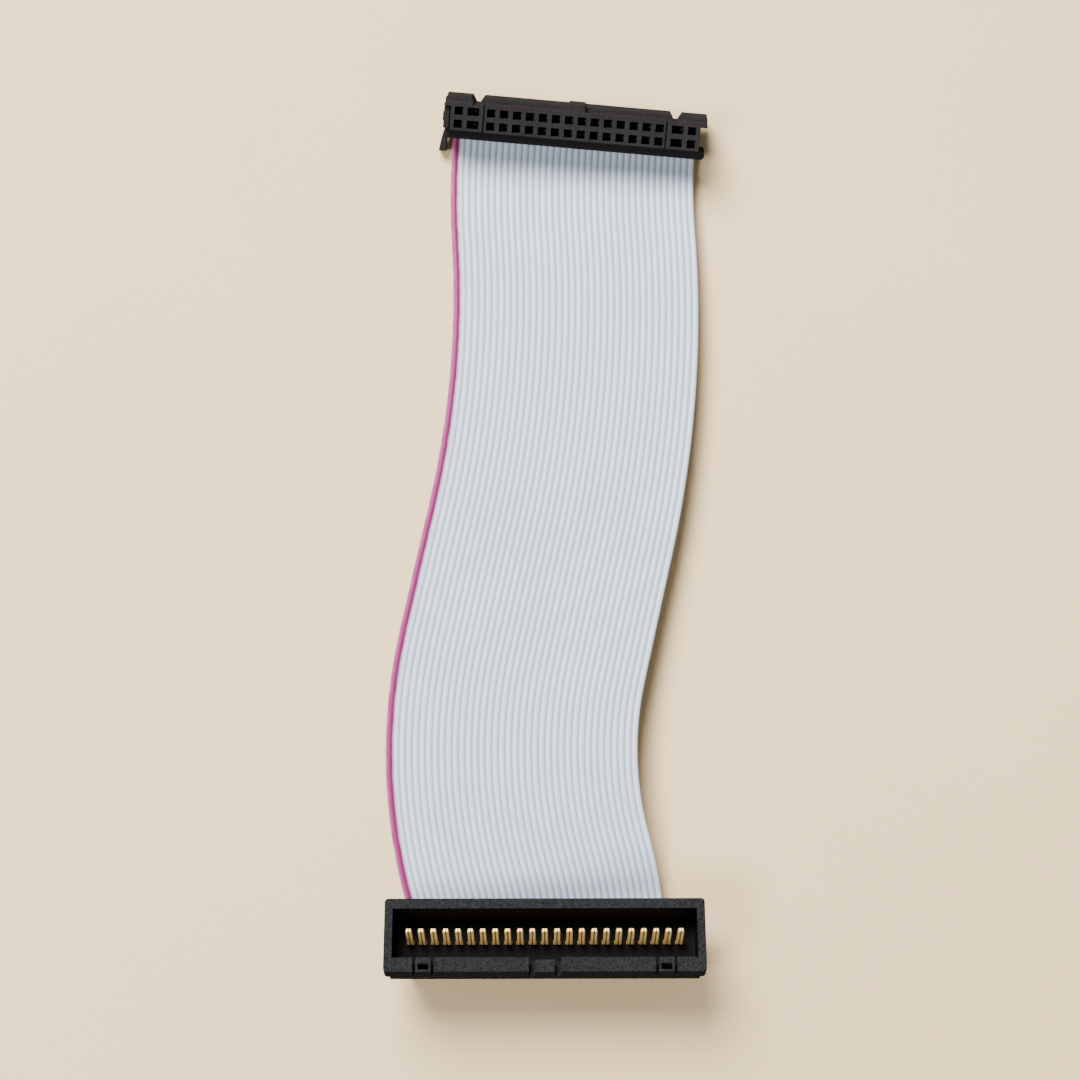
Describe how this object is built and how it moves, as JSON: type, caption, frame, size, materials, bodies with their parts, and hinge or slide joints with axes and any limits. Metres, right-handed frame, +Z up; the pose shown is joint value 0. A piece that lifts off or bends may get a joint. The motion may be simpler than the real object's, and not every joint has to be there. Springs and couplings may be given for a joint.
{
  "type": "ribbon cable",
  "caption": "Ribbed grey flat ribbon cable with a pink edge stripe, a two-row contact socket at one end and a shrouded pin plug at the other.",
  "frame": {"origin": "middle of the footprint, on the surface the cable lies on", "axes": "+Y along the cable towards the socket, +Z up, +X to the side away from the pink stripe"},
  "size_m": [0.0628, 0.1742, 0.021],
  "materials": {
    "ribbon_grey": "satin ribbed PVC, first conductor pink",
    "socket_black": "moulded, fine grain",
    "bar_black": "moulded, smoother",
    "plug_black": "moulded, pebbled",
    "pin_gold": "gold plated",
    "contact_metal": "plated"
  },
  "bodies": {
    "root": {"plug_contact_01": "pin_gold", "plug_contact_02": "pin_gold", "plug_contact_03": "pin_gold", "plug_contact_04": "pin_gold", "plug_contact_05": "pin_gold", "plug_contact_06": "pin_gold", "plug_contact_07": "pin_gold", "plug_contact_08": "pin_gold", "plug_contact_09": "pin_gold", "plug_contact_10": "pin_gold", "plug_contact_11": "pin_gold", "plug_contact_12": "pin_gold", "plug_contact_13": "pin_gold", "plug_contact_14": "pin_gold", "plug_contact_15": "pin_gold", "plug_contact_16": "pin_gold", "plug_contact_17": "pin_gold", "plug_contact_18": "pin_gold", "plug_contact_19": "pin_gold", "plug_contact_20": "pin_gold", "plug_contact_21": "pin_gold", "plug_contact_22": "pin_gold", "plug_contact_23": "pin_gold", "plug_cover": "plug_black", "plug_housing": "plug_black", "ribbon": "ribbon_grey", "socket_contacts_lower": "contact_metal", "socket_contacts_upper": "contact_metal", "socket_cover": "socket_black", "socket_housing": "socket_black", "socket_strain_relief": "bar_black"}
  },
  "joints": []
}
